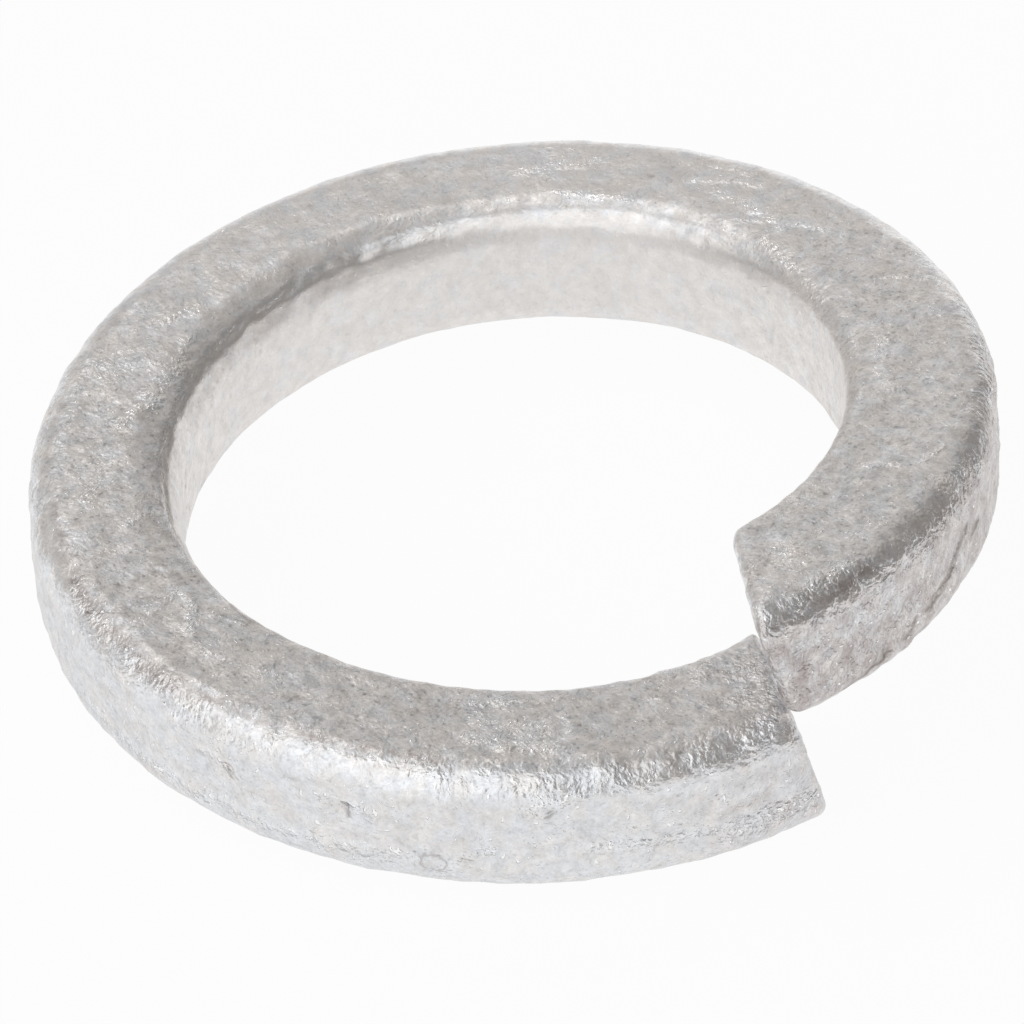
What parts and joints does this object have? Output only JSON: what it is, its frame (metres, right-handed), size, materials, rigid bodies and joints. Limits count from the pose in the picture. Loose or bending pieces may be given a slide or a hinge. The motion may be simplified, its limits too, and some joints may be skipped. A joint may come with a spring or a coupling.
{
  "type": "spring lock washer",
  "caption": "Split spring lock washer: one turn of square wire with rounded edges, coiled with a rise, both ends cut at a slant; clear bore for a bolt.",
  "frame": {"origin": "on the axis of the bore, at half the coil's free height", "axes": "+Z along the bore's axis towards the raised end; +X through the gap between the cut ends"},
  "size_m": [0.0296, 0.0296, 0.009],
  "materials": {
    "galvanised_steel": "hot-dip galvanised, dull grey with a fine sparkle, small lumps and flow marks"
  },
  "bodies": {
    "root": {"spring_washer": "galvanised_steel"}
  },
  "joints": []
}
